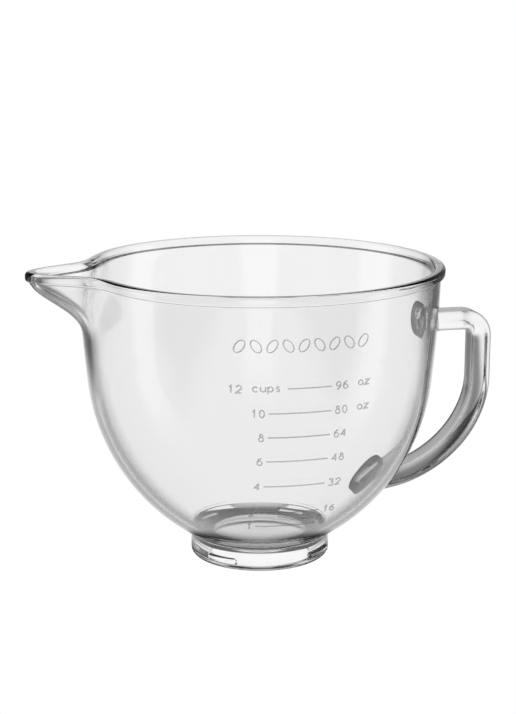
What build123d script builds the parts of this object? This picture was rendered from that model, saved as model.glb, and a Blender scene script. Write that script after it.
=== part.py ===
from build123d import *
import os
from math import atan2, cos, exp, pi, radians, sin, sqrt

os.makedirs("parts", exist_ok=True)

# A pressed-glass mixing bowl: +Z up, the foot stands on Z = 0 and the bowl's axis is Z.
# The handle is on +X, the pouring spout on -X and the measuring scale on the -Y wall.
# All sizes are in millimetres.

# Bowl wall: three tangent arcs turned about Z, from the underside to the mouth
bowl_height = 186.2  # foot's resting plane to the top of the rim
mouth_radius = 112.0  # outer wall at the mouth
wall_thickness = 4.4
underside_height = 5.5  # lowest point of the wall, above the resting plane
base_arc_radius = 74.0
belly_arc_radius = 130.0
belly_centre_height = 127.3
belly_top_height = 114.3  # where the belly arc meets the nearly straight upper wall
upper_arc_radius = 930.0

# Rolled bead along the mouth
bead_height = 6.0
bead_proud = 2.5  # how far it stands out of the wall
bead_round = 2.6
bead_under_round = 1.8

# Pouring spout, and the slight necking of the mouth on both sides of it
spout_reach = 36.5
spout_half_angle = 11.0  # degrees at which the spout has fallen to 37% of its reach
spout_depth = 43.0  # from the spout's full section down to where it leaves the wall
spout_lip = 5.2  # the spout's full section starts this far under the rim
neck_depth = 6.5
neck_half_angle = 60.0  # degrees

# Foot ring, and the four lugs that turn into a stand mixer's bowl seat
foot_radius = 43.8
foot_wall = 12.3
foot_edge_round = 3.0
lug_proud = 1.8
lug_height = 5.0
lug_base_height = 3.6
lug_angle = 28.0  # degrees of the foot's circle that each lug takes
lug_corner_round = 0.7
lug_count = 4

# Handle: a solid rounded bar
handle_width = 22.0
handle_thickness = 12.4
handle_corner = 5.4
arm_drop = 41.0  # rim to the centre of the upper arm
grip_reach = 34.3  # outer wall to the centre of the grip
elbow_radius = 10.5
grip_length = 26.7  # straight part of the grip
lower_end_height = 41.0
root_depth = 9.0  # how far the bar's centre line runs in behind the wall before it is trimmed
root_flare = 5.0  # how much each root widens on each side
root_flare_length = 8.0

# Raised measuring scale
relief = 0.4
line_width = 0.7
stroke_width = 0.7
line_left = -19.5
line_right = 17.0
top_line_left = -9.0
glyph_width = 2.6
glyph_height = 4.4
glyph_pitch = 4.4
letter_size = 2.9
letter_pitch = 4.15
cup_marks = {133.0: "12", 118.4: "10", 103.8: "8", 88.6: "6", 71.6: "4", 51.5: "2", 40.6: "1"}
ounce_marks = {133.0: "96", 118.4: "80", 103.8: "64", 88.6: "48", 71.6: "32", 51.5: "16", 40.6: "8"}
cup_column_right = -21.8
top_cup_column_right = -34.6
ounce_column_left = 19.8
cups_word_left = -28.4
ounce_word_left = 33.8

# Raised ornament above the scale: a row of leaf-shaped rings
ornament_drop = 28.2  # rim down to the middle of the row
ornament_count = 9
ornament_pitch = 9.0
leaf_long_radius = 4.0
leaf_short_radius = 2.4
leaf_tilt = 35.0  # degrees
ornament_stroke = 0.6

# ---- Wall section --------------------------------------------------------------------------

belly_sine = (belly_top_height - belly_centre_height) / belly_arc_radius
belly_cosine = sqrt(1 - belly_sine**2)
upper_centre_height = belly_centre_height + (belly_arc_radius - upper_arc_radius) * belly_sine
upper_rise = bowl_height - upper_centre_height
upper_centre_offset = mouth_radius - sqrt(upper_arc_radius**2 - upper_rise**2)
belly_centre_offset = upper_centre_offset - (belly_arc_radius - upper_arc_radius) * belly_cosine
base_centre_height = underside_height + base_arc_radius
centre_drop = belly_centre_height - base_centre_height
centre_shift = sqrt((belly_arc_radius - base_arc_radius) ** 2 - centre_drop**2)
base_centre_offset = belly_centre_offset + centre_shift
base_turn = atan2(centre_shift, centre_drop)
belly_turn = pi / 2 + atan2(belly_sine, belly_cosine)


def wall_radius(height, inset=0.0):
    """Radius of the round wall at a height, moved inwards by inset along the wall's normal."""
    base_join = base_centre_height - (base_arc_radius - inset) * cos(base_turn)
    belly_join = belly_centre_height - (belly_arc_radius - inset) * cos(belly_turn)
    if height <= base_join:
        drop = min(base_centre_height - height, base_arc_radius - inset)
        return base_centre_offset + sqrt((base_arc_radius - inset) ** 2 - drop**2)
    if height <= belly_join:
        rise = height - belly_centre_height
        return belly_centre_offset + sqrt((belly_arc_radius - inset) ** 2 - rise**2)
    rise = height - upper_centre_height
    return upper_centre_offset + sqrt((upper_arc_radius - inset) ** 2 - rise**2)


def wall_stations(inset, top):
    """Radius and height at each level of the wall, close together where it curves most."""
    base_steps = 4
    belly_steps = 8
    upper_steps = 9
    stations = []
    for step in range(base_steps + 1):
        turn = base_turn * step / base_steps
        radius = base_centre_offset + (base_arc_radius - inset) * sin(turn)
        stations.append((radius, base_centre_height - (base_arc_radius - inset) * cos(turn)))
    for step in range(1, belly_steps + 1):
        turn = base_turn + (belly_turn - base_turn) * step / belly_steps
        radius = belly_centre_offset + (belly_arc_radius - inset) * sin(turn)
        stations.append((radius, belly_centre_height - (belly_arc_radius - inset) * cos(turn)))
    upper_start = stations[-1][1]
    for step in range(1, upper_steps + 1):
        height = upper_start + (top - upper_start) * step / upper_steps
        stations.append((wall_radius(height, inset), height))
    return stations


# ---- Spout: how far the wall leaves its circle, by angle from -X and by height ----------------


def spout_bump(angle):
    """Outward move of the mouth at an angle in radians, and its rate of change."""
    spout_span = radians(spout_half_angle)
    neck_span = radians(neck_half_angle)
    rise = spout_reach * exp(-((angle / spout_span) ** 2))
    rate = -2 * angle / spout_span**2 * rise
    if abs(angle) < neck_span:
        rise -= neck_depth * cos(pi / 2 * angle / neck_span) ** 2
        rate += neck_depth * pi / 2 / neck_span * sin(pi * angle / neck_span)
    return rise, rate


def spout_share(height):
    """Share of the bump at a height, a fourth power of a sine, and its rate of change."""
    start = bowl_height - spout_lip - spout_depth
    share = min(max((height - start) / spout_depth, 0.0), 1.0)
    sine = sin(pi / 2 * share)
    return sine**4, 2 * pi / spout_depth * sine**3 * cos(pi / 2 * share)


def plan_outline(radius, height, inset=0.0, proud=0.0):
    """Points of the closed plan curve at one height, close together round the spout."""
    half_count = 28
    share, keel_rate = spout_share(height)
    points = []
    for step in range(-half_count, half_count):
        angle = pi * abs(step / half_count) ** 1.6 * (1 if step > 0 else -1)
        rise, rate = spout_bump(angle)
        local = radius + rise * share
        side = rate * share / local
        keel = rise * keel_rate
        local += proud * sqrt(1 + side**2)
        local -= inset * (sqrt(1 + side**2 + keel**2) - 1)
        points.append((-local * cos(angle), local * sin(angle)))
    return points


# ---- Bowl: outer form, kept for trimming what joins it, then the shell -------------------------

with BuildPart() as outer_form:
    for station_radius, station_height in wall_stations(0.0, bowl_height - bead_height / 2):
        with BuildSketch(Plane.XY.offset(station_height)):
            with BuildLine():
                Spline(*plan_outline(station_radius, station_height), periodic=True)
            make_face()
    loft()

with BuildPart() as bowl_shell:
    add(outer_form.part)
    with BuildSketch(Plane.XY.offset(bowl_height - bead_height)):
        with BuildLine():
            Spline(*plan_outline(mouth_radius, bowl_height, proud=bead_proud), periodic=True)
        make_face()
    extrude(amount=bead_height)
    for station_radius, station_height in wall_stations(wall_thickness, bowl_height + bead_height / 2):
        with BuildSketch(Plane.XY.offset(station_height)):
            with BuildLine():
                Spline(*plan_outline(station_radius, station_height, inset=wall_thickness), periodic=True)
            make_face()
    loft(mode=Mode.SUBTRACT)
    fillet(bowl_shell.faces().sort_by(Axis.Z)[-1].edges(), bead_round)
    bead_underside = bowl_shell.faces().filter_by(GeomType.PLANE).sort_by(Axis.Z)[-2]
    fillet(bead_underside.outer_wire().edges(), bead_under_round)
bowl_shell.part.label = "bowl_shell"
export_step(bowl_shell.part, "parts/bowl_shell.step")

# ---- Foot ring: turned section, its top trimmed to the bowl it carries -------------------------

foot_joint_height = base_centre_height
with BuildPart() as foot_ring:
    with BuildSketch(Plane.XZ):
        with Locations((foot_radius - foot_wall / 2, 0)):
            Rectangle(foot_wall, foot_joint_height, align=(Align.CENTER, Align.MIN))
    revolve(axis=Axis.Z)
    fillet(foot_ring.faces().sort_by(Axis.Z)[0].edges(), foot_edge_round)
    add(outer_form.part, mode=Mode.SUBTRACT)
    above_bowl = foot_ring.solids().sort_by(Axis.Z)[1:]
    if above_bowl:
        add(above_bowl, mode=Mode.SUBTRACT)
foot_ring.part.label = "foot_ring"
export_step(foot_ring.part, "parts/foot_ring.step")

# ---- Locking lugs: short raised sectors round the outside of the foot --------------------------

lug_reach = 2 * foot_radius
lug_half_chord = lug_reach * sin(radians(lug_angle / 2))
lug_flat = lug_reach * cos(radians(lug_angle / 2))
with BuildPart() as locking_lugs:
    with BuildSketch(Plane.XY.offset(lug_base_height)):
        with PolarLocations(0, lug_count, start_angle=180 / lug_count):
            Polygon((0, 0), (lug_flat, -lug_half_chord), (lug_flat, lug_half_chord), align=None)
        Circle(foot_radius + lug_proud, mode=Mode.INTERSECT)
        Circle(foot_radius, mode=Mode.SUBTRACT)
    extrude(amount=lug_height)
    lug_faces = locking_lugs.faces().filter_by(GeomType.CYLINDER)
    outer_faces = lug_faces.filter_by(lambda face: face.radius > foot_radius + lug_proud / 2)
    fillet(outer_faces.edges(), lug_corner_round)
locking_lugs.part.label = "locking_lugs"
export_step(locking_lugs.part, "parts/locking_lugs.step")

# ---- Handle: a bar along an arm, an elbow, a grip and a quarter ellipse back to the wall -------

arm_height = bowl_height - arm_drop
arm_wall = wall_radius(arm_height)
grip_x = arm_wall + grip_reach
grip_top = arm_height - elbow_radius
grip_bottom = grip_top - grip_length
arm_start = arm_wall - root_depth / 2
lower_wall = wall_radius(lower_end_height)
lower_start = lower_wall - root_depth
quarter_run = grip_x - lower_start
quarter_drop = grip_bottom - lower_end_height


def lower_centre_height(x):
    """Height of the quarter ellipse's centre line at x."""
    return grip_bottom - quarter_drop * sqrt(1 - ((x - lower_start) / quarter_run) ** 2)


# each root widens in a quarter circle: position along the flare, share of the full widening
flare_stations = [(0.0, 1.0), (0.2, 0.52), (0.55, 0.14), (1.0, 0.0)]
roots = [
    (arm_start, arm_wall, lambda x: arm_height),
    (lower_start, lower_wall, lower_centre_height),
]

with BuildPart() as handle:
    with BuildLine(Plane.XZ):
        Line((arm_start, arm_height), (grip_x - elbow_radius, arm_height))
        RadiusArc((grip_x - elbow_radius, arm_height), (grip_x, grip_top), elbow_radius)
        Line((grip_x, grip_top), (grip_x, grip_bottom))
        EllipticalCenterArc((lower_start, grip_bottom), quarter_run, quarter_drop, 0, arc_size=-90)
    with BuildSketch(Plane.YZ.offset(arm_start)):
        with Locations((0, arm_height)):
            RectangleRounded(handle_width, handle_thickness, handle_corner)
    sweep()
    for start_x, wall_x, centre_height in roots:
        stations = [(start_x, 1.0)]
        for place, share in flare_stations:
            stations.append((wall_x + root_flare_length * place, share))
        for station_x, share in stations:
            flare = root_flare * share
            with BuildSketch(Plane.YZ.offset(station_x)):
                with Locations((0, centre_height(station_x))):
                    RectangleRounded(
                        handle_width + 2 * flare,
                        handle_thickness + 2 * flare,
                        handle_corner + flare * 0.8,
                    )
        loft(ruled=True)
    add(outer_form.part, mode=Mode.SUBTRACT)
handle.part.label = "handle"
export_step(handle.part, "parts/handle.step")

# ---- Raised scale: flat marks pushed through a thin skin that follows the outer wall ------------

ornament_height = bowl_height - ornament_drop
mark_margin = 6.0  # the skin runs this far past the lowest and the highest mark
mark_bottom = min(cup_marks) - mark_margin
mark_top = ornament_height + leaf_long_radius + mark_margin
mark_span = 60.0  # degrees of the wall that the marks may take
skin_depth = 0.3  # the skin starts this far inside the wall, and the bowl is cut out of the marks


def skin_curve(offset):
    """Points of the two wall arcs between the lowest and the highest mark."""
    join = belly_centre_height - (belly_arc_radius - offset) * cos(belly_turn)
    heights = [mark_bottom, (mark_bottom + join) / 2, join, (join + mark_top) / 2, mark_top]
    return [(wall_radius(height, offset), height) for height in heights]


near_skin = skin_curve(skin_depth)
far_skin = skin_curve(-relief)
with BuildPart() as mark_skin:
    with BuildSketch(Plane.XZ.rotated((0, 0, -90 - mark_span / 2))):
        with BuildLine():
            ThreePointArc(*near_skin[0:3])
            ThreePointArc(*near_skin[2:5])
            Line(near_skin[4], far_skin[4])
            ThreePointArc(*far_skin[2:5])
            ThreePointArc(*far_skin[0:3])
            Line(far_skin[0], near_skin[0])
        make_face()
    revolve(axis=Axis.Z, revolution_arc=mark_span)

# the marks are drawn on an upright plane in front of the -Y wall: its x is X, its y is Z
mark_plane = Plane(origin=(0, -mouth_radius - relief, 0), x_dir=(1, 0, 0), z_dir=(0, -1, 0))
mark_depth = mouth_radius / 2


def round_stroke(x, y, x_radius, y_radius):
    return EllipticalCenterArc((x, y), x_radius, y_radius, 0, arc_size=360)


def numeral_strokes(numeral):
    """Centre lines of one numeral, from its lower left corner."""
    w = glyph_width
    h = glyph_height
    belly = w / 2
    head = (h - w) / 2
    if numeral == "0":
        return [round_stroke(w / 2, h / 2, w / 2, h / 2)]
    if numeral == "1":
        return [Polyline((0.2 * w, 0.78 * h), (0.6 * w, h), (0.6 * w, 0))]
    if numeral == "2":
        head_arc = ThreePointArc((0, 0.74 * h), (0.6 * w, h), (w, 0.6 * h))
        return [head_arc, Polyline((w, 0.6 * h), (0, 0), (w, 0))]
    if numeral == "3":
        upper = ThreePointArc((0, 0.86 * h), (0.85 * w, 0.87 * h), (0.4 * w, 0.56 * h))
        lower = ThreePointArc((0.4 * w, 0.56 * h), (w, 0.28 * h), (0, 0.1 * h))
        return [upper, lower]
    if numeral == "4":
        arms = Polyline((0.75 * w, h), (0, 0.32 * h), (w, 0.32 * h))
        return [Line((0.75 * w, 0), (0.75 * w, h)), arms]
    if numeral == "6":
        tail = ThreePointArc((0, belly), (0.2 * w, 0.76 * h), (0.85 * w, h))
        return [round_stroke(belly, belly, belly, belly), tail]
    if numeral == "8":
        upper = round_stroke(belly, h - head, 0.9 * head, head)
        return [round_stroke(belly, belly, belly, belly), upper]
    if numeral == "9":
        tail = ThreePointArc((w, h - belly), (0.8 * w, 0.24 * h), (0.15 * w, 0))
        return [round_stroke(belly, h - belly, belly, belly), tail]
    raise ValueError("no strokes for " + numeral)


def letter_strokes(letter):
    """Centre lines of one small letter of the unit words, from its lower left corner."""
    size = letter_size
    half = size / 2
    if letter == "c":
        return [CenterArc((half, half), half, 45, 270)]
    if letter == "u":
        bowl = ThreePointArc((0, half), (half, 0), (size, half))
        return [Line((0, size), (0, half)), bowl, Line((size, 0), (size, size))]
    if letter == "p":
        return [round_stroke(half, half, half, half), Line((0, size), (0, -half))]
    if letter == "s":
        upper = CenterArc((half, 0.75 * size), 0.25 * size, 20, 250)
        lower = CenterArc((half, 0.25 * size), 0.25 * size, 200, 250)
        return [upper, lower]
    if letter == "o":
        return [round_stroke(half, half, half, half)]
    if letter == "z":
        return [Polyline((0, size), (size, size), (0, 0), (size, 0))]
    raise ValueError("no strokes for " + letter)


def placed(strokes, x, y):
    return [stroke.moved(Location((x, y, 0))) for stroke in strokes]


cup_strokes = []
ounce_strokes = []
for mark_height, figures in cup_marks.items():
    right = top_cup_column_right if mark_height == max(cup_marks) else cup_column_right
    left = right - glyph_width - glyph_pitch * (len(figures) - 1)
    for place, figure in enumerate(figures):
        x = left + glyph_pitch * place
        cup_strokes += placed(numeral_strokes(figure), x, mark_height - glyph_height / 2)
for mark_height, figures in ounce_marks.items():
    for place, figure in enumerate(figures):
        x = ounce_column_left + glyph_pitch * place
        ounce_strokes += placed(numeral_strokes(figure), x, mark_height - glyph_height / 2)

word_strokes = []
top_marks = sorted(ounce_marks)[-2:]
for place, letter in enumerate("cups"):
    x = cups_word_left + letter_pitch * place
    word_strokes += placed(letter_strokes(letter), x, max(cup_marks) - letter_size / 2)
for mark_height in top_marks:
    for place, letter in enumerate("oz"):
        x = ounce_word_left + letter_pitch * place
        word_strokes += placed(letter_strokes(letter), x, mark_height - letter_size / 2)

ornament_strokes = []
for place in range(ornament_count):
    x = (place - (ornament_count - 1) / 2) * ornament_pitch
    tilt = leaf_tilt if place % 2 else -leaf_tilt
    leaf = round_stroke(0, 0, leaf_short_radius, leaf_long_radius).rotate(Axis.Z, tilt)
    ornament_strokes += placed([leaf], x, ornament_height)

with BuildPart() as scale_lines:
    with BuildSketch(mark_plane):
        for mark_height in cup_marks:
            left = top_line_left if mark_height == max(cup_marks) else line_left
            with Locations(((left + line_right) / 2, mark_height)):
                SlotOverall(line_right - left, line_width)
    extrude(amount=-mark_depth)
    add(mark_skin.part, mode=Mode.INTERSECT)
    add(outer_form.part, mode=Mode.SUBTRACT)
scale_lines.part.label = "scale_lines"
export_step(scale_lines.part, "parts/scale_lines.step")

for node_name, strokes, width in (
    ("cup_numerals", cup_strokes, stroke_width),
    ("ounce_numerals", ounce_strokes, stroke_width),
    ("unit_words", word_strokes, stroke_width),
    ("wall_ornament", ornament_strokes, ornament_stroke),
):
    with BuildPart() as raised_marks:
        with BuildSketch(mark_plane):
            for stroke in strokes:
                trace(stroke, width)
        extrude(amount=-mark_depth)
        add(mark_skin.part, mode=Mode.INTERSECT)
        add(outer_form.part, mode=Mode.SUBTRACT)
    raised_marks.part.label = node_name
    export_step(raised_marks.part, "parts/" + node_name + ".step")
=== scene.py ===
import math
import bpy
import numpy as np
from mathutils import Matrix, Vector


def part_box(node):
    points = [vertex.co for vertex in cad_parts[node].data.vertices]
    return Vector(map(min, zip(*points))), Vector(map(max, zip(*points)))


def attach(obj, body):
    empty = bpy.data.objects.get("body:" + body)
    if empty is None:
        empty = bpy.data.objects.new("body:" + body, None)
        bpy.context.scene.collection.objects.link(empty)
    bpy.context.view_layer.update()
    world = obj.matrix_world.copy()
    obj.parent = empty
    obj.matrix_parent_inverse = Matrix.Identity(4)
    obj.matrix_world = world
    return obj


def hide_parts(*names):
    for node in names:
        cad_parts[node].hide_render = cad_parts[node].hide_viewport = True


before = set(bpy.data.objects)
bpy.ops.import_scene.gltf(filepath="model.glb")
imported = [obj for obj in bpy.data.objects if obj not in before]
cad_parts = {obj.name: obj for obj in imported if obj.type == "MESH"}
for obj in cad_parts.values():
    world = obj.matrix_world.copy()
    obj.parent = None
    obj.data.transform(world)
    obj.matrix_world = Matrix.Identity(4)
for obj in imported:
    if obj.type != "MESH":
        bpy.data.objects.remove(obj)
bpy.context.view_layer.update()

# Glass mixing bowl. Metres, +Z up, the foot stands on Z = 0, handle on +X, spout on -X, scale on -Y.
scene = bpy.context.scene
bowlTop = float(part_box("bowl_shell")[1][2])

# The bowl's wall is three tangent arcs, and the spout leaves it near the mouth.
wallForm = {
    "mouthRadius": 0.112, "thickness": 0.0044, "underside": 0.0055, "baseArc": 0.074, "bellyArc": 0.130,
    "bellyCentre": 0.1273, "bellyTop": 0.1143, "upperArc": 0.930,
    "beadHeight": 0.006, "beadProud": 0.0025, "beadRound": 0.0026, "beadUnderRound": 0.0018, "beadNook": 0.0009,
    "spoutReach": 0.0365, "spoutAngle": math.radians(11), "spoutDepth": 0.043, "spoutLip": 0.0052,
    "neckDepth": 0.0065, "neckAngle": math.radians(60), "columns": 300,
    "keelAngle": math.radians(4), "keelSpan": math.radians(2.6),
}
footForm = {"radius": 0.0438, "wall": 0.0123, "edgeRound": 0.003, "jointRound": 0.0016, "columns": 384,
            "lugProud": 0.0018, "lugBase": 0.0036, "lugHeight": 0.005, "lugAngle": math.radians(28), "lugSoft": 0.0012}
handleForm = {
    "width": 0.022, "thickness": 0.0124, "corner": 0.0054, "armDrop": 0.041, "gripReach": 0.0343,
    "elbow": 0.0105, "gripLength": 0.0267, "lowerEnd": 0.041, "rootDepth": 0.009,
    "flare": 0.005, "flareLength": 0.008, "leanLength": 0.030,
}


def arcCentres():
    # centres of the three arcs, worked out from the mouth down so that each meets the next at one tangent
    f = wallForm
    sine = (f["bellyTop"] - f["bellyCentre"]) / f["bellyArc"]
    cosine = math.sqrt(1 - sine ** 2)
    upperZ = f["bellyCentre"] + (f["bellyArc"] - f["upperArc"]) * sine
    upperX = f["mouthRadius"] - math.sqrt(f["upperArc"] ** 2 - (bowlTop - upperZ) ** 2)
    bellyX = upperX - (f["bellyArc"] - f["upperArc"]) * cosine
    baseZ = f["underside"] + f["baseArc"]
    drop = f["bellyCentre"] - baseZ
    shift = math.sqrt((f["bellyArc"] - f["baseArc"]) ** 2 - drop ** 2)
    return {"upperX": upperX, "upperZ": upperZ, "bellyX": bellyX, "baseX": bellyX + shift, "baseZ": baseZ,
            "baseTurn": math.atan2(shift, drop), "bellyTurn": math.pi / 2 + math.atan2(sine, cosine)}


arcs = arcCentres()


def wallRadius(z, inset=0.0):
    # radius of the round wall at heights z, moved inwards along its normal: sqrt(arc^2 - rise^2) on each arc
    f = wallForm
    z = np.asarray(z, float)
    baseArc, bellyArc, upperArc = f["baseArc"] - inset, f["bellyArc"] - inset, f["upperArc"] - inset
    low = arcs["baseX"] + np.sqrt(np.clip(baseArc ** 2 - (z - arcs["baseZ"]) ** 2, 0, None))
    mid = arcs["bellyX"] + np.sqrt(np.clip(bellyArc ** 2 - (z - f["bellyCentre"]) ** 2, 0, None))
    high = arcs["upperX"] + np.sqrt(np.clip(upperArc ** 2 - (z - arcs["upperZ"]) ** 2, 0, None))
    baseJoin = arcs["baseZ"] - baseArc * math.cos(arcs["baseTurn"])
    bellyJoin = f["bellyCentre"] - bellyArc * math.cos(arcs["bellyTurn"])
    return np.where(z <= baseJoin, low, np.where(z <= bellyJoin, mid, high))


def spoutBump(angle):
    # a bell curve about -X, less a raised cosine that necks the mouth in on both sides; and its rate of change
    f = wallForm
    rise = f["spoutReach"] * np.exp(-(angle / f["spoutAngle"]) ** 2)
    rate = -2 * angle / f["spoutAngle"] ** 2 * rise
    inside = np.abs(angle) < f["neckAngle"]
    rise = rise - np.where(inside, f["neckDepth"] * np.cos(np.pi / 2 * angle / f["neckAngle"]) ** 2, 0)
    turn = f["neckDepth"] * np.pi / 2 / f["neckAngle"] * np.sin(np.pi * angle / f["neckAngle"])
    return rise, rate + np.where(inside, turn, 0)


def spoutShare(z):
    # how much of the bump a height has: the fourth power of a sine, from nothing to all of it
    f = wallForm
    share = np.clip((z - (bowlTop - f["spoutLip"] - f["spoutDepth"])) / f["spoutDepth"], 0, 1)
    sine = np.sin(np.pi / 2 * share)
    return sine ** 4, 2 * np.pi / f["spoutDepth"] * sine ** 3 * np.cos(np.pi / 2 * share)


def arcPoints(centre, radius, start, end, count):
    # points of an arc, from one angle to another, in degrees
    angles = np.radians(np.linspace(start, end, count))
    return np.stack([centre[0] + radius * np.cos(angles), centre[1] + radius * np.sin(angles)], 1)


def signedVolume(vertices, quads, triangles):
    # a sixth of the sum of a . (b x c) over the triangles, each quad cut into two
    corners = np.concatenate([quads[:, [0, 1, 2]], quads[:, [0, 2, 3]], triangles])
    a, b, c = vertices[corners[:, 0]], vertices[corners[:, 1]], vertices[corners[:, 2]]
    return float(np.einsum("ij,ij->i", a, np.cross(b, c)).sum() / 6)


def makePiece(name, vertices, quads, triangles, slots, materials):
    if signedVolume(vertices, quads, triangles) < 0:
        quads, triangles = quads[:, ::-1], triangles[:, ::-1]
    mesh = bpy.data.meshes.new(name)
    mesh.from_pydata(vertices.tolist(), [], quads.tolist() + triangles.tolist())
    mesh.polygons.foreach_set("material_index", np.asarray(slots, dtype=np.int32))
    mesh.polygons.foreach_set("use_smooth", np.ones(len(slots), dtype=bool))
    for material in materials:
        mesh.materials.append(material)
    mesh.update()
    piece = bpy.data.objects.new(name, mesh)
    scene.collection.objects.link(piece)
    return piece


def smoothStep(value, low, high):
    # 0 below low, 1 above high, 3t^2 - 2t^3 between
    t = np.clip((value - low) / (high - low), 0, 1)
    return t * t * (3 - 2 * t)


def setShade(piece, shade):
    # painted shade, one number per grid point; the two poles after them stay 0
    layer = piece.data.attributes.new("shade", "FLOAT", "POINT")
    layer.data.foreach_set("value", np.append(shade.ravel(), [0, 0]).astype(np.float32))


def tubeFaces(rows, columns, closedRows=False):
    # quads of a grid whose columns close on themselves; row by row
    row = np.arange(rows if closedRows else rows - 1)[:, None]
    column = np.arange(columns)[None, :]
    here, there, after = row * columns, (row + 1) % rows * columns, (column + 1) % columns
    return np.stack([here + column, here + after, there + after, there + column], 2).reshape(-1, 4)


def poleFaces(ring, pole, columns):
    # triangles from one ring to its pole
    column = np.arange(columns)
    return np.stack([ring + column, ring + (column + 1) % columns, np.full(columns, pole)], 1)


def bowlSection():
    # the wall's section from the underside's pole, up the outside, over the bead and down to the floor's pole:
    # round radius, height and how far the point stands off the outer wall; plus the rows fused to the foot
    f, g = wallForm, footForm
    innerFoot = math.asin((g["radius"] - g["wall"] - arcs["baseX"]) / f["baseArc"])
    outerFoot = math.asin((g["radius"] + g["jointRound"] * 0.9 - arcs["baseX"]) / f["baseArc"])
    turns = np.concatenate([np.linspace(0, innerFoot, 9), np.linspace(innerFoot, outerFoot, 9)[1:],
                            np.linspace(outerFoot, arcs["baseTurn"], 3)[1:]])
    fusedRows = (8, 16)
    bellyTurns = np.linspace(arcs["baseTurn"], arcs["bellyTurn"], 46)[1:]

    def lower(inset):
        base = np.stack([arcs["baseX"] + (f["baseArc"] - inset) * np.sin(turns),
                         arcs["baseZ"] - (f["baseArc"] - inset) * np.cos(turns)], 1)
        belly = np.stack([arcs["bellyX"] + (f["bellyArc"] - inset) * np.sin(bellyTurns),
                          f["bellyCentre"] - (f["bellyArc"] - inset) * np.cos(bellyTurns)], 1)
        return np.concatenate([base, belly])

    outer = lower(0.0)
    inner = lower(f["thickness"])
    under = bowlTop - f["beadHeight"]
    nook, underRound, topRound, proud = f["beadNook"], f["beadUnderRound"], f["beadRound"], f["beadProud"]
    outerHeights = np.linspace(outer[-1, 1], under - nook, 42)[1:]
    bead = np.concatenate([
        arcPoints((nook, under - nook), nook, 180, 90, 5)[1:],
        arcPoints((proud - underRound, under + underRound), underRound, -90, 0, 9),
        arcPoints((proud - topRound, bowlTop - topRound), topRound, 0, 90, 13),
        arcPoints((topRound - f["thickness"], bowlTop - topRound), topRound, 90, 180, 13),
    ])
    innerHeights = np.linspace(inner[-1, 1], bowlTop - topRound, 42)[1:-1][::-1]
    radius = np.concatenate([outer[:, 0], wallRadius(outerHeights), wallRadius(bead[:, 1]),
                             wallRadius(innerHeights, f["thickness"]) + f["thickness"],
                             inner[::-1, 0] + f["thickness"]])
    height = np.concatenate([outer[:, 1], outerHeights, bead[:, 1], innerHeights, inner[::-1, 1]])
    offset = np.concatenate([np.zeros(len(outer) + len(outerHeights)), bead[:, 0],
                             np.full(len(innerHeights) + len(inner), -f["thickness"])])
    return radius, height, offset, fusedRows


def makeBowl(materials):
    # point = round radius + bump x share + offset x length of the outline's normal, turned about Z
    f = wallForm
    radius, height, offset, fusedRows = bowlSection()
    step = np.arange(-f["columns"] // 2, f["columns"] // 2) / (f["columns"] / 2)
    angle = np.pi * np.sign(step) * np.abs(step) ** 1.55
    rise, rate = spoutBump(angle)
    share, shareRate = spoutShare(height)
    share = np.where(height > bowlTop - f["beadHeight"] - 0.001, 1.0, share)
    base = radius[:, None] + rise[None, :] * share[:, None]
    side = rate[None, :] * share[:, None] / base
    keel = rise[None, :] * shareRate[:, None]
    local = base + offset[:, None] * np.sqrt(1 + side ** 2 + keel ** 2)
    grid = np.stack([-local * np.cos(angle), local * np.sin(angle),
                     np.broadcast_to(height[:, None], local.shape)], 2)
    rows, columns = local.shape
    poles = np.array([[0, 0, height[0]], [0, 0, height[-1]]])
    vertices = np.concatenate([grid.reshape(-1, 3), poles])
    quads = tubeFaces(rows, columns)
    slots = np.zeros(len(quads), dtype=int)
    slots[fusedRows[0] * columns:fusedRows[1] * columns] = 1
    # slot 3: the underside inside the foot, tinted grey as painted shade
    slots[:fusedRows[0] * columns] = 3
    outerRows = int(np.argmax(offset > 0))
    centre = grid[:outerRows].reshape(-1, 3)
    wide = handleForm["width"] / 2 + handleForm["flare"] + 0.004
    nearRoot = (centre[:, 0] > 0) & (np.abs(centre[:, 1]) < wide)
    slots[:len(centre)][nearRoot & (centre[:, 2] > 0.02) & (slots[:len(centre)] == 0)] = 2
    first = poleFaces(0, rows * columns, columns)
    last = poleFaces((rows - 1) * columns, rows * columns + 1, columns)
    triangles = np.concatenate([first[:, ::-1], last])
    slots = np.concatenate([slots, np.full(columns, 3), np.zeros(columns, dtype=int)])
    piece = makePiece("bowlBody", vertices, quads, triangles, slots, materials)
    # dark painted shade on both flanks of the spout's keel: a bell curve about 4 degrees either side, on the outer
    # wall only
    flankShade = np.exp(-((np.abs(angle) - f["keelAngle"]) / f["keelSpan"]) ** 2)
    level = smoothStep(height, bowlTop - 0.05, bowlTop - 0.034)
    level = level * smoothStep(-height, 0.006 - bowlTop, 0.01 - bowlTop) * (offset == 0)
    setShade(piece, level[:, None] * flankShade[None, :])
    return piece


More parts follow.
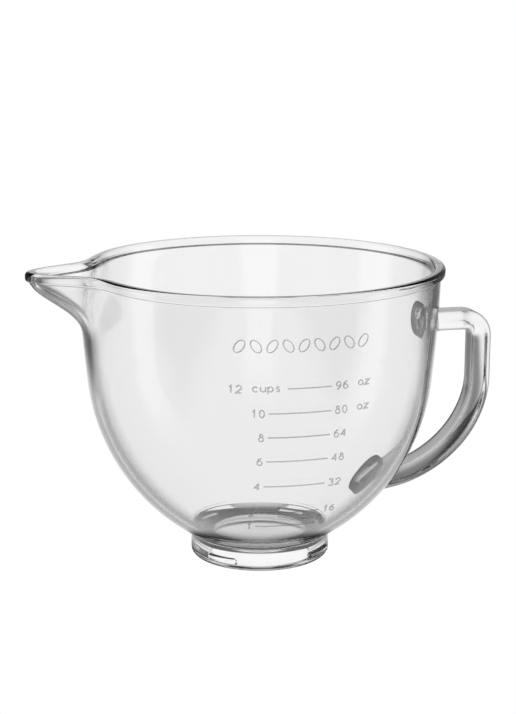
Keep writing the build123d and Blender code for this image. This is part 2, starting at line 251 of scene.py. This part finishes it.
def makeFoot(materials):
    # a turned loop: land, rounded outer corner, outside, small nook to the bowl, along the bowl's underside,
    # inside
    f, g = wallForm, footForm
    outer, inner, edge, nook = g["radius"], g["radius"] - g["wall"], g["edgeRound"], g["jointRound"]
    top = float(arcs["baseZ"] - math.sqrt(f["baseArc"] ** 2 - (outer - arcs["baseX"]) ** 2))
    outerTurn = math.asin((outer + nook * 0.9 - arcs["baseX"]) / f["baseArc"])
    innerTurn = math.asin((inner - arcs["baseX"]) / f["baseArc"])
    turns = np.linspace(outerTurn, innerTurn, 9)
    under = np.stack([arcs["baseX"] + f["baseArc"] * np.sin(turns),
                      arcs["baseZ"] - f["baseArc"] * np.cos(turns)], 1)
    side = np.stack([np.full(34, outer), np.linspace(edge, top - nook * 0.9, 34)], 1)
    # the nook leaves the side upright and meets the bowl along its slope: a quadratic curve between the two
    t = np.linspace(0, 1, 8)[1:-1, None]
    corner = np.array([outer, top])
    nookCurve = (1 - t) ** 2 * side[-1] + 2 * t * (1 - t) * corner + t ** 2 * under[0]
    insideTop = under[-1, 1]
    section = np.concatenate([
        arcPoints((inner + edge, edge), edge, 180, 270, 10),
        arcPoints((outer - edge, edge), edge, 270, 360, 12),
        side[1:], nookCurve, under,
        np.stack([np.full(4, inner), np.linspace(insideTop, edge, 6)[1:-1]], 1),
    ])
    fusedStart = 10 + 12 + len(side) - 1 + len(nookCurve)
    angle = np.linspace(0, 2 * np.pi, g["columns"], endpoint=False)
    # each lug lifts the side by a soft-edged window in height times a soft-edged window in angle
    low, high, soft = g["lugBase"], g["lugBase"] + g["lugHeight"], g["lugSoft"]
    level = smoothStep(section[:, 1], low, low + soft) * smoothStep(-section[:, 1], -high, soft - high)
    level = np.where(np.abs(section[:, 0] - outer) < 1e-6, level, 0)
    turn = np.abs(np.mod(angle, np.pi / 2) - np.pi / 4)
    window = smoothStep(-turn, -g["lugAngle"] / 2, -g["lugAngle"] / 2 + soft / outer)
    radius = section[:, :1] + g["lugProud"] * level[:, None] * window[None, :]
    grid = np.stack([radius * np.cos(angle), radius * np.sin(angle),
                     np.broadcast_to(section[:, 1:], (len(section), len(angle)))], 2)
    quads = tubeFaces(len(section), len(angle), closedRows=True)
    slots = np.zeros(len(quads), dtype=int)
    slots[fusedStart * len(angle):(fusedStart + len(under) - 1) * len(angle)] = 1
    return makePiece("footRing", grid.reshape(-1, 3), quads, np.empty((0, 3), dtype=int), slots, materials)


def roundedOutline(halfWidth, halfDepth, corner, cornerSteps=9, flatSteps=3):
    # closed outlines of rounded rectangles, one for each size given: four quarter circles joined by straight
    # runs, the same count at every size
    halfWidth, halfDepth, corner = (np.asarray(size, float)[..., None] for size in (halfWidth, halfDepth, corner))
    signs = ((1, 1), (-1, 1), (-1, -1), (1, -1))

    def cornerArc(quarter, angles):
        signX, signY = signs[quarter % 4]
        return np.stack([signX * (halfWidth - corner) + corner * np.cos(angles),
                         signY * (halfDepth - corner) + corner * np.sin(angles)], -1)

    points = []
    for quarter in range(4):
        angles = np.radians(np.linspace(quarter * 90, quarter * 90 + 90, cornerSteps))
        arc = cornerArc(quarter, angles)
        following = cornerArc(quarter + 1, angles[-1:])
        end = arc[..., -1:, :]
        points += [arc, end + (following - end) * np.linspace(0, 1, flatSteps + 2)[1:-1, None]]
    return np.concatenate(points, axis=-2)


def handlePath():
    # centre line in the X-Z plane: arm, elbow arc, straight grip, quarter ellipse back to the wall; with its
    # direction at each point
    h = handleForm
    armZ = bowlTop - h["armDrop"]
    armWall = float(wallRadius(armZ))
    gripX = armWall + h["gripReach"]
    gripTop, gripBottom = armZ - h["elbow"], armZ - h["elbow"] - h["gripLength"]
    lowerWall = float(wallRadius(h["lowerEnd"]))
    lowerStart = lowerWall - h["rootDepth"]
    run, drop = gripX - lowerStart, gripBottom - h["lowerEnd"]
    near = h["flareLength"] * np.linspace(0, 1, 9)
    armX = np.concatenate([armWall + near, np.linspace(armWall + near[-1], gripX - h["elbow"], 8)[1:]])
    arm = np.stack([armX, np.full(len(armX), armZ)], 1)
    elbow = arcPoints((gripX - h["elbow"], gripTop), h["elbow"], 90, 0, 15)[1:]
    grip = np.stack([np.full(10, gripX), np.linspace(gripTop, gripBottom, 11)[1:]], 1)
    lowEdge = math.acos((lowerWall - lowerStart) / run)
    sweepAngles = np.linspace(0, lowEdge, 60)[1:]
    lower = np.stack([lowerStart + run * np.cos(sweepAngles), gripBottom - drop * np.sin(sweepAngles)], 1)
    path = np.concatenate([arm, elbow, grip, lower])
    direction = np.gradient(path, axis=0)
    direction /= np.linalg.norm(direction, axis=1)[:, None]
    direction[:9] = (1, 0)
    direction[-1] = (-1, 0)
    return path, direction, armZ, armWall, lowerWall


def capRings(ring, centreZ, steps=6):
    # rings shrinking towards the root's centre, all on the bowl's outer wall: x = sqrt(wallRadius(z)^2 - y^2)
    share = np.linspace(1, 0, steps + 1)[1:-1, None]
    y = ring[:, 1] * share
    z = centreZ + (ring[:, 2] - centreZ) * share
    return np.stack([np.sqrt(wallRadius(z) ** 2 - y ** 2), y, z], 2)


def makeHandle(materials):
    # rounded bar: path + across x outline + outwards x outline; near each root the section widens in a quarter
    # circle and leans until its last ring lies on the bowl
    h = handleForm
    path, direction, armZ, armWall, lowerWall = handlePath()
    count = len(path)
    sideways = np.stack([-direction[:, 1], direction[:, 0]], 1)
    root = np.where(np.arange(count) < count // 2, armWall, lowerWall)
    away = path[:, 0] - root
    reach = np.clip(away / h["flareLength"], 0, 1)
    flare = h["flare"] * (1 - np.sqrt(1 - (1 - reach) ** 2))
    lean = np.clip(1 - away / h["leanLength"], 0, 1) ** 2
    outline = roundedOutline(h["width"] / 2 + flare, h["thickness"] / 2 + flare, h["corner"] + flare)
    place = path[:, None, :] + outline[:, :, 1:] * sideways[:, None, :]
    onWall = np.sqrt(wallRadius(place[:, :, 1]) ** 2 - outline[:, :, 0] ** 2)
    x = place[:, :, 0] + (onWall - root[:, None]) * lean[:, None]
    rings = np.stack([x, outline[:, :, 0], place[:, :, 1]], 2)
    across = rings.shape[1]

    endZ = float(path[-1, 1])
    startCap, endCap = capRings(rings[0], armZ)[::-1], capRings(rings[-1], endZ)
    allRings = np.concatenate([startCap, rings, endCap])
    poles = np.array([[float(wallRadius(armZ)), 0, armZ], [float(wallRadius(endZ)), 0, endZ]])
    vertices = np.concatenate([allRings.reshape(-1, 3), poles])
    total = len(allRings)
    quads = tubeFaces(total, across)
    slots = np.zeros(len(quads), dtype=int)
    slots[:len(startCap) * across] = 1
    slots[(len(startCap) + count - 1) * across:] = 1
    first = poleFaces(0, total * across, across)
    last = poleFaces((total - 1) * across, total * across + 1, across)
    slots = np.concatenate([slots, np.ones(2 * across, dtype=int)])
    piece = makePiece("handleBar", vertices, quads, np.concatenate([first[:, ::-1], last]), slots, materials)

    # painted shade: a dark band follows the bar's side towards the bowl, and moves to its middle and widens on the way
    # down
    outwards = roundedOutline(h["width"] / 2, h["thickness"] / 2, h["corner"])[:, 1] / (h["thickness"] / 2)
    down = np.clip((armZ - h["elbow"] * 0.4 - path[:, 1]) / (armZ - h["lowerEnd"]), 0, 1)[:, None]
    middle, width = 0.7 * down - 0.85, 0.5 + 0.45 * down
    shade = np.zeros(allRings.shape[:2])
    shade[len(startCap):len(startCap) + count] = (np.exp(-((outwards[None, :] - middle) / width) ** 2)
                                                  * smoothStep(down, 0, 0.08))
    setShade(piece, shade)
    return piece


def newMaterial(name):
    material = bpy.data.materials.new(name)
    material.use_nodes = True
    material.node_tree.nodes.clear()
    return material, material.node_tree.nodes, material.node_tree.links


def mathNode(nodes, links, operation, *values):
    node = nodes.new("ShaderNodeMath")
    node.operation = operation
    for socket, value in zip(node.inputs, values):
        if isinstance(value, (int, float)):
            socket.default_value = value
        else:
            links.new(value, socket)
    return node.outputs[0]


def rangeNode(nodes, links, value, fromLow, fromHigh, toLow, toHigh):
    node = nodes.new("ShaderNodeMapRange")
    node.interpolation_type = "SMOOTHSTEP"
    links.new(value, node.inputs["Value"])
    for socketName, number in (("From Min", fromLow), ("From Max", fromHigh),
                               ("To Min", toLow), ("To Max", toHigh)):
        node.inputs[socketName].default_value = number
    return node.outputs["Result"]


def surfaceGroup():
    # pressed-glass surface: slow ripples for the normal, and faint smears for the roughness
    group = bpy.data.node_groups.new("glassSurface", "ShaderNodeTree")
    for socketName, value in (("Ripple Scale", 30.0), ("Ripple Depth", 0.1),
                              ("Smear Scale", 20.0), ("Smear Most", 0.03)):
        socket = group.interface.new_socket(name=socketName, in_out="INPUT", socket_type="NodeSocketFloat")
        socket.default_value = value
    group.interface.new_socket(name="Roughness", in_out="OUTPUT", socket_type="NodeSocketFloat")
    group.interface.new_socket(name="Normal", in_out="OUTPUT", socket_type="NodeSocketVector")
    nodes, links = group.nodes, group.links
    inputs, outputs = nodes.new("NodeGroupInput"), nodes.new("NodeGroupOutput")
    coords = nodes.new("ShaderNodeTexCoord")
    ripple = nodes.new("ShaderNodeTexNoise")
    ripple.inputs["Detail"].default_value = 1.0
    smear = nodes.new("ShaderNodeTexNoise")
    smear.inputs["Detail"].default_value = 3.0
    level = nodes.new("ShaderNodeMapRange")
    level.inputs["From Min"].default_value = 0.55
    level.inputs["From Max"].default_value = 0.8
    level.inputs["To Min"].default_value = 0.0
    bump = nodes.new("ShaderNodeBump")
    bump.inputs["Distance"].default_value = 0.001
    links.new(coords.outputs["Object"], ripple.inputs["Vector"])
    links.new(coords.outputs["Object"], smear.inputs["Vector"])
    links.new(inputs.outputs["Ripple Scale"], ripple.inputs["Scale"])
    links.new(inputs.outputs["Smear Scale"], smear.inputs["Scale"])
    links.new(inputs.outputs["Smear Most"], level.inputs["To Max"])
    links.new(inputs.outputs["Ripple Depth"], bump.inputs["Strength"])
    links.new(smear.outputs["Fac"], level.inputs["Value"])
    links.new(ripple.outputs["Fac"], bump.inputs["Height"])
    links.new(level.outputs["Result"], outputs.inputs["Roughness"])
    links.new(bump.outputs["Normal"], outputs.inputs["Normal"])
    return group


glassSurface = surfaceGroup()


def rootMask(nodes, links, roots, half, corner):
    # 0 inside a rounded rectangle in Y and Z round each root's centre, 1 outside: there the handle is fused on
    coords = nodes.new("ShaderNodeTexCoord")
    parts = nodes.new("ShaderNodeSeparateXYZ")
    links.new(coords.outputs["Object"], parts.inputs["Vector"])
    masks = []
    acrossY = mathNode(nodes, links, "ABSOLUTE", parts.outputs["Y"])
    acrossY = mathNode(nodes, links, "MAXIMUM", mathNode(nodes, links, "SUBTRACT", acrossY, half[0] - corner), 0.0)
    for height in roots:
        fromRoot = mathNode(nodes, links, "SUBTRACT", parts.outputs["Z"], height)
        acrossZ = mathNode(nodes, links, "ABSOLUTE", fromRoot)
        acrossZ = mathNode(nodes, links, "MAXIMUM",
                           mathNode(nodes, links, "SUBTRACT", acrossZ, half[1] - corner), 0.0)
        far = mathNode(nodes, links, "ADD", mathNode(nodes, links, "POWER", acrossY, 2.0),
                       mathNode(nodes, links, "POWER", acrossZ, 2.0))
        masks.append(mathNode(nodes, links, "GREATER_THAN", far, corner ** 2))
    return mathNode(nodes, links, "MULTIPLY", masks[0], masks[1])


def glassMaterial(name, look, roots=None):
    material, nodes, links = newMaterial(name)
    output = nodes.new("ShaderNodeOutputMaterial")
    shader = nodes.new("ShaderNodeBsdfPrincipled")
    shader.inputs["Transmission Weight"].default_value = 1.0
    shader.inputs["IOR"].default_value = look["ior"]
    surface = nodes.new("ShaderNodeGroup")
    surface.node_tree = glassSurface
    surface.inputs["Ripple Scale"].default_value = look["rippleScale"]
    surface.inputs["Ripple Depth"].default_value = look["rippleDepth"]
    surface.inputs["Smear Most"].default_value = look["smearMost"]
    # painted shade: the base colour darkens to the dark edge tint where the surface turns edge-on to the eye, standing
    # in for the dark bands bent light shows along the glass's edges
    facing = nodes.new("ShaderNodeLayerWeight")
    facing.inputs["Blend"].default_value = 0.5
    edgeShadeRamp = nodes.new("ShaderNodeMapRange")
    edgeShadeRamp.interpolation_type = "SMOOTHSTEP"
    edgeShadeRamp.inputs["From Min"].default_value = look["edgeStart"]
    edgeShadeRamp.inputs["From Max"].default_value = look["edgeEnd"]
    links.new(facing.outputs["Facing"], edgeShadeRamp.inputs["Value"])
    tint = nodes.new("ShaderNodeMix")
    tint.data_type = "RGBA"
    tint.inputs["A"].default_value = (*look["tint"], 1)
    tint.inputs["B"].default_value = (*look["edgeShadeTint"], 1)
    edge = edgeShadeRamp.outputs["Result"]
    if look["paleAbove"]:
        # painted shade on the edges is darkest low down, where the glass turns under, on the spout and on the rim's
        # bead
        coords = nodes.new("ShaderNodeTexCoord")
        parts = nodes.new("ShaderNodeSeparateXYZ")
        links.new(coords.outputs["Object"], parts.inputs["Vector"])
        fall = rangeNode(nodes, links, parts.outputs["Z"], look["paleAbove"] - 0.05, look["paleAbove"], 1.0, 0.25)
        spout = rangeNode(nodes, links, parts.outputs["X"], -0.113, -0.1, 1.0, 0.0)
        rim = rangeNode(nodes, links, parts.outputs["Z"], bowlTop - 0.0075, bowlTop - 0.0055, 0.0, 0.9)
        fall = mathNode(nodes, links, "MAXIMUM", fall, rim)
        edge = mathNode(nodes, links, "MULTIPLY", edge, mathNode(nodes, links, "MAXIMUM", fall, spout))
    links.new(edge, tint.inputs["Factor"])
    tinted = tint.outputs["Result"]
    if look["shadeDepth"] < 1:
        # painted shade: where the piece's own shade attribute is 1, the glass is shadeDepth times as bright
        side = nodes.new("ShaderNodeAttribute")
        side.attribute_name = "shade"
        shade = rangeNode(nodes, links, side.outputs["Fac"], 0.0, 1.0, 1.0, look["shadeDepth"])
        darker = nodes.new("ShaderNodeMix")
        darker.data_type = "RGBA"
        darker.blend_type = "MULTIPLY"
        darker.inputs["Factor"].default_value = 1.0
        links.new(tinted, darker.inputs["A"])
        links.new(shade, darker.inputs["B"])
        tinted = darker.outputs["Result"]
    links.new(tinted, shader.inputs["Base Color"])
    links.new(surface.outputs["Roughness"], shader.inputs["Roughness"])
    links.new(surface.outputs["Normal"], shader.inputs["Normal"])
    if roots:
        h = handleForm
        half = (h["width"] / 2 + h["flare"], h["thickness"] / 2 + h["flare"])
        links.new(rootMask(nodes, links, roots, half, h["corner"] + h["flare"]), shader.inputs["Alpha"])
    links.new(shader.outputs["BSDF"], output.inputs["Surface"])
    return material


def fusedMaterial():
    # where two glass pieces are fused there is no surface: light goes straight through
    material, nodes, links = newMaterial("fusedJoint")
    output = nodes.new("ShaderNodeOutputMaterial")
    shader = nodes.new("ShaderNodeBsdfPrincipled")
    shader.inputs["Alpha"].default_value = 0.0
    shader.inputs["Roughness"].default_value = 0.0
    links.new(shader.outputs["BSDF"], output.inputs["Surface"])
    return material


def rootJointShadeMaterial(roots):
    # painted shade: the welded joint seen end on is a near-black sheet, darkest round its rim, where light is trapped;
    # noise breaks it up
    material, nodes, links = newMaterial("rootJointShade")
    output = nodes.new("ShaderNodeOutputMaterial")
    shader = nodes.new("ShaderNodeBsdfPrincipled")
    shader.inputs["Base Color"].default_value = (0.015, 0.015, 0.015, 1)
    shader.inputs["Roughness"].default_value = 0.6
    shader.inputs["Specular IOR Level"].default_value = 0.0
    coords = nodes.new("ShaderNodeTexCoord")
    parts = nodes.new("ShaderNodeSeparateXYZ")
    shadeBreakup = nodes.new("ShaderNodeTexNoise")
    shadeBreakup.inputs["Scale"].default_value = 90.0
    links.new(coords.outputs["Object"], parts.inputs["Vector"])
    links.new(coords.outputs["Object"], shadeBreakup.inputs["Vector"])
    y = mathNode(nodes, links, "POWER", mathNode(nodes, links, "DIVIDE", parts.outputs["Y"], 0.016), 2.0)
    far = None
    for height in roots:
        z = mathNode(nodes, links, "DIVIDE", mathNode(nodes, links, "SUBTRACT", parts.outputs["Z"], height), 0.0112)
        each = mathNode(nodes, links, "ADD", y, mathNode(nodes, links, "POWER", z, 2.0))
        far = each if far is None else mathNode(nodes, links, "MINIMUM", far, each)
    rim = rangeNode(nodes, links, far, 0.1, 0.75, 0.45, 0.95)
    shadeGaps = rangeNode(nodes, links, shadeBreakup.outputs["Fac"], 0.35, 0.65, 0.85, 1.0)
    links.new(mathNode(nodes, links, "MULTIPLY", rim, shadeGaps), shader.inputs["Alpha"])
    links.new(shader.outputs["BSDF"], output.inputs["Surface"])
    return material


clearLook = {"ior": 1.5, "tint": (0.94, 0.942, 0.94), "edgeShadeTint": (0.03, 0.03, 0.03), "edgeStart": 0.56,
             "edgeEnd": 0.8, "paleAbove": 0.14, "shadeDepth": 0.1,
             "rippleScale": 26.0, "rippleDepth": 0.02, "smearMost": 0.006}
# painted shade: the bowl's underside inside the foot is tinted mid grey, standing in for the shade in the foot's
# hollow
baseShadeLook = dict(clearLook, tint=(0.5, 0.5, 0.5), paleAbove=0, shadeDepth=1)
footLook = dict(clearLook, edgeShadeTint=(0.1, 0.1, 0.1), paleAbove=0, shadeDepth=1,
                rippleScale=40.0, rippleDepth=0.03)
handleLook = dict(clearLook, edgeShadeTint=(0.02, 0.02, 0.02), edgeStart=0.3, edgeEnd=0.85, paleAbove=0,
                  shadeDepth=0.06, rippleScale=40.0, rippleDepth=0.03)
reliefLook = dict(clearLook, tint=(0.55, 0.555, 0.55), edgeShadeTint=(0.15, 0.15, 0.15), edgeStart=0.4, paleAbove=0,
                  shadeDepth=1, smearMost=0.05)
rootHeights = (bowlTop - handleForm["armDrop"], float(handlePath()[0][-1, 1]))
bowlGlass = glassMaterial("bowlGlass", clearLook)
baseShadeGlass = glassMaterial("baseShadeGlass", baseShadeLook)
rootGlass = glassMaterial("rootGlass", clearLook, rootHeights)
footGlass = glassMaterial("footGlass", footLook)
handleGlass = glassMaterial("handleGlass", handleLook)
reliefGlass = glassMaterial("reliefGlass", reliefLook)
fusedJoint = fusedMaterial()
rootJointShade = rootJointShadeMaterial(rootHeights)
print("materials made")

bowlBody = makeBowl([bowlGlass, fusedJoint, rootGlass, baseShadeGlass])
footRing = makeFoot([footGlass, fusedJoint])
handleBar = makeHandle([handleGlass, rootJointShade])
print("glass made:", len(bowlBody.data.polygons), len(footRing.data.polygons), len(handleBar.data.polygons))

for piece, nodeNames, slotName in ((bowlBody, ["bowl_shell"], "bowl_glass"),
                                   (footRing, ["foot_ring", "locking_lugs"], "foot_glass"),
                                   (handleBar, ["handle"], "handle_glass")):
    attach(piece, "root")
    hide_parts(*nodeNames)

for nodeName in ("scale_lines", "cup_numerals", "ounce_numerals", "unit_words", "wall_ornament"):
    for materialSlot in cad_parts[nodeName].material_slots:
        materialSlot.material = reliefGlass

studio = {"floorReach": 6.0, "camDistance": 0.9949, "camHeight": 0.3564, "camTurn": 13.0,
          "camPitch": 13.017, "lens": 82.17479, "shift": -0.00232493, "gloom": 0.15, "zenith": 0.03,
          "spread": 0.1, "armHalf": 0.13, "flagFade": 0.22, "contact": 0.0325, "shadowEnd": 0.056}


def flagPattern(nodes, links, x, y, gap):
    # a bright cross, one arm behind the bowl as the camera sees it, that widens outwards; dark flags between the
    # arms. In turned axes u and v: smaller(|u|, |v|) against gap + spread x larger(|u|, |v|)
    turn = math.radians(studio["camTurn"])

    def along(first, second):
        return mathNode(nodes, links, "ABSOLUTE", mathNode(nodes, links, "ADD",
                                                           mathNode(nodes, links, "MULTIPLY", x, first),
                                                           mathNode(nodes, links, "MULTIPLY", y, second)))

    u, v = along(math.cos(turn), -math.sin(turn)), along(math.sin(turn), math.cos(turn))
    large = mathNode(nodes, links, "MULTIPLY", mathNode(nodes, links, "MAXIMUM", u, v), studio["spread"])
    into = mathNode(nodes, links, "SUBTRACT", mathNode(nodes, links, "MINIMUM", u, v), large)
    return rangeNode(nodes, links, into, gap, gap + studio["flagFade"], 1.0, studio["gloom"])


def makeFloor():
    # the eye sees plain white; light bent by the glass sees the cross, and painted shadow close to the foot
    reach = studio["floorReach"]
    mesh = bpy.data.meshes.new("studioFloor")
    corners = [(-reach, -reach, 0), (reach, -reach, 0), (reach, reach, 0), (-reach, reach, 0)]
    mesh.from_pydata(corners, [], [(0, 1, 2, 3)])
    floor = bpy.data.objects.new("studioFloor", mesh)
    scene.collection.objects.link(floor)
    material, nodes, links = newMaterial("paleFloor")
    output = nodes.new("ShaderNodeOutputMaterial")
    glow = nodes.new("ShaderNodeEmission")
    coords = nodes.new("ShaderNodeTexCoord")
    parts = nodes.new("ShaderNodeSeparateXYZ")
    path = nodes.new("ShaderNodeLightPath")
    links.new(coords.outputs["Object"], parts.inputs["Vector"])
    x, y = parts.outputs["X"], parts.outputs["Y"]
    squares = mathNode(nodes, links, "ADD", mathNode(nodes, links, "MULTIPLY", x, x),
                       mathNode(nodes, links, "MULTIPLY", y, y))
    distance = mathNode(nodes, links, "SQRT", squares)
    # painted shadow: a dark ring on the floor under the foot's land, fading back to full brightness just beyond the
    # foot
    inside = rangeNode(nodes, links, distance, studio["contact"], studio["contact"] + 0.002, 1.0, 0.04)
    outside = rangeNode(nodes, links, distance, 0.043, studio["shadowEnd"], 0.0, 1.0)
    shade = mathNode(nodes, links, "MAXIMUM", inside, outside)
    bent = mathNode(nodes, links, "MULTIPLY", shade, flagPattern(nodes, links, x, y, studio["armHalf"]))
    seen = mathNode(nodes, links, "MAXIMUM", path.outputs["Is Camera Ray"], bent)
    links.new(seen, glow.inputs["Strength"])
    links.new(glow.outputs["Emission"], output.inputs["Surface"])
    mesh.materials.append(material)


def makeWorld():
    # the same cross above the horizon, falling to dark overhead; plain white to the eye
    world = bpy.data.worlds.new("studioWorld")
    scene.world = world
    world.use_nodes = True
    nodes, links = world.node_tree.nodes, world.node_tree.links
    nodes.clear()
    output = nodes.new("ShaderNodeOutputWorld")
    background = nodes.new("ShaderNodeBackground")
    coords = nodes.new("ShaderNodeTexCoord")
    parts = nodes.new("ShaderNodeSeparateXYZ")
    path = nodes.new("ShaderNodeLightPath")
    links.new(coords.outputs["Generated"], parts.inputs["Vector"])
    lobes = flagPattern(nodes, links, parts.outputs["X"], parts.outputs["Y"], 0.02)
    fall = rangeNode(nodes, links, parts.outputs["Z"], 0.15, 0.75, 1.0, studio["zenith"])
    bent = mathNode(nodes, links, "MULTIPLY", fall, lobes)
    seen = mathNode(nodes, links, "MAXIMUM", path.outputs["Is Camera Ray"], bent)
    background.inputs["Color"].default_value = (1, 1, 1, 1)
    links.new(seen, background.inputs["Strength"])
    links.new(background.outputs["Background"], output.inputs["Surface"])


def makeCamera():
    turn = math.radians(studio["camTurn"])
    camera = bpy.data.cameras.new("studioCamera")
    camera.sensor_width = 36
    camera.lens = studio["lens"]
    camera.shift_x = studio["shift"]
    body = bpy.data.objects.new("studioCamera", camera)
    away = studio["camDistance"]
    body.location = (-away * math.sin(turn), -away * math.cos(turn), studio["camHeight"])
    body.rotation_euler = (math.radians(90 - studio["camPitch"]), 0, -turn)
    scene.collection.objects.link(body)
    scene.camera = body


makeFloor()
makeWorld()
makeCamera()
scene.view_settings.view_transform = "Standard"
scene.cycles.max_bounces = 32
scene.cycles.transmission_bounces = 32
scene.cycles.transparent_max_bounces = 32
scene.cycles.glossy_bounces = 8
print("studio made")
